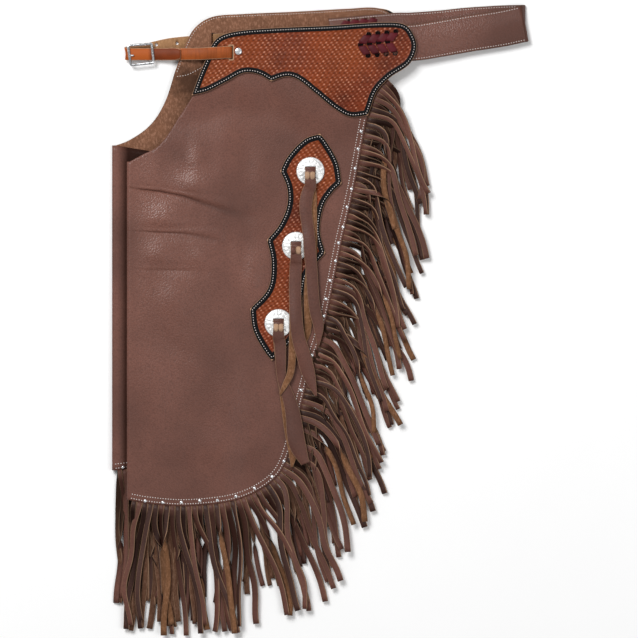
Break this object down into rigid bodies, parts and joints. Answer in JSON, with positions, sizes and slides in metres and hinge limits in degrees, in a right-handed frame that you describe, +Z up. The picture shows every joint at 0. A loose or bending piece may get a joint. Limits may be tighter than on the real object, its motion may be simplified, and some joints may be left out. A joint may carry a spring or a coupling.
{
  "type": "fringed leather chinks (short riding chaps)",
  "caption": "Fringed leather chinks laid flat, legs folded together: stamped yoke, patch with slotted conchos and strings, waist belt, front buckle strap.",
  "frame": {"origin": "on the surface it lies on, under the middle of the folded garment", "axes": "+Z up from the surface, +Y from the hem to the waist, +X from the inner thigh fold to the fringed side"},
  "size_m": [0.5827, 0.8817, 0.0221],
  "materials": {
    "leg_grain": "brown pebbled grain",
    "leg_flesh": "tan suede flesh side",
    "stamped": "cognac with a basketweave stamp, satin",
    "strap_cognac": "smooth cognac, satin",
    "strap_brown": "brown pebbled grain, stitched edges",
    "lace": "smooth burgundy lace",
    "chrome": "polished",
    "silver": "bright engraved silver"
  },
  "bodies": {
    "root": {"belt": "strap_brown", "buckle_frame": "chrome", "buckle_tongue": "chrome", "concho_1": "silver", "concho_2": "silver", "concho_3": "silver", "fringe_far": "leg_flesh", "fringe_far_flap": "leg_grain", "fringe_near": "leg_grain", "fringe_near_flap": "leg_grain", "lacing_far": "lace", "lacing_near": "lace", "leg_far": "leg_flesh", "leg_near": "leg_grain", "patch_near": "stamped", "rivet_far": "chrome", "rivet_near": "chrome", "strap_far": "strap_cognac", "strap_near": "strap_cognac", "string_1": "leg_grain", "string_2": "leg_grain", "string_3": "leg_grain", "yoke_far": "stamped", "yoke_near": "stamped"}
  },
  "joints": []
}
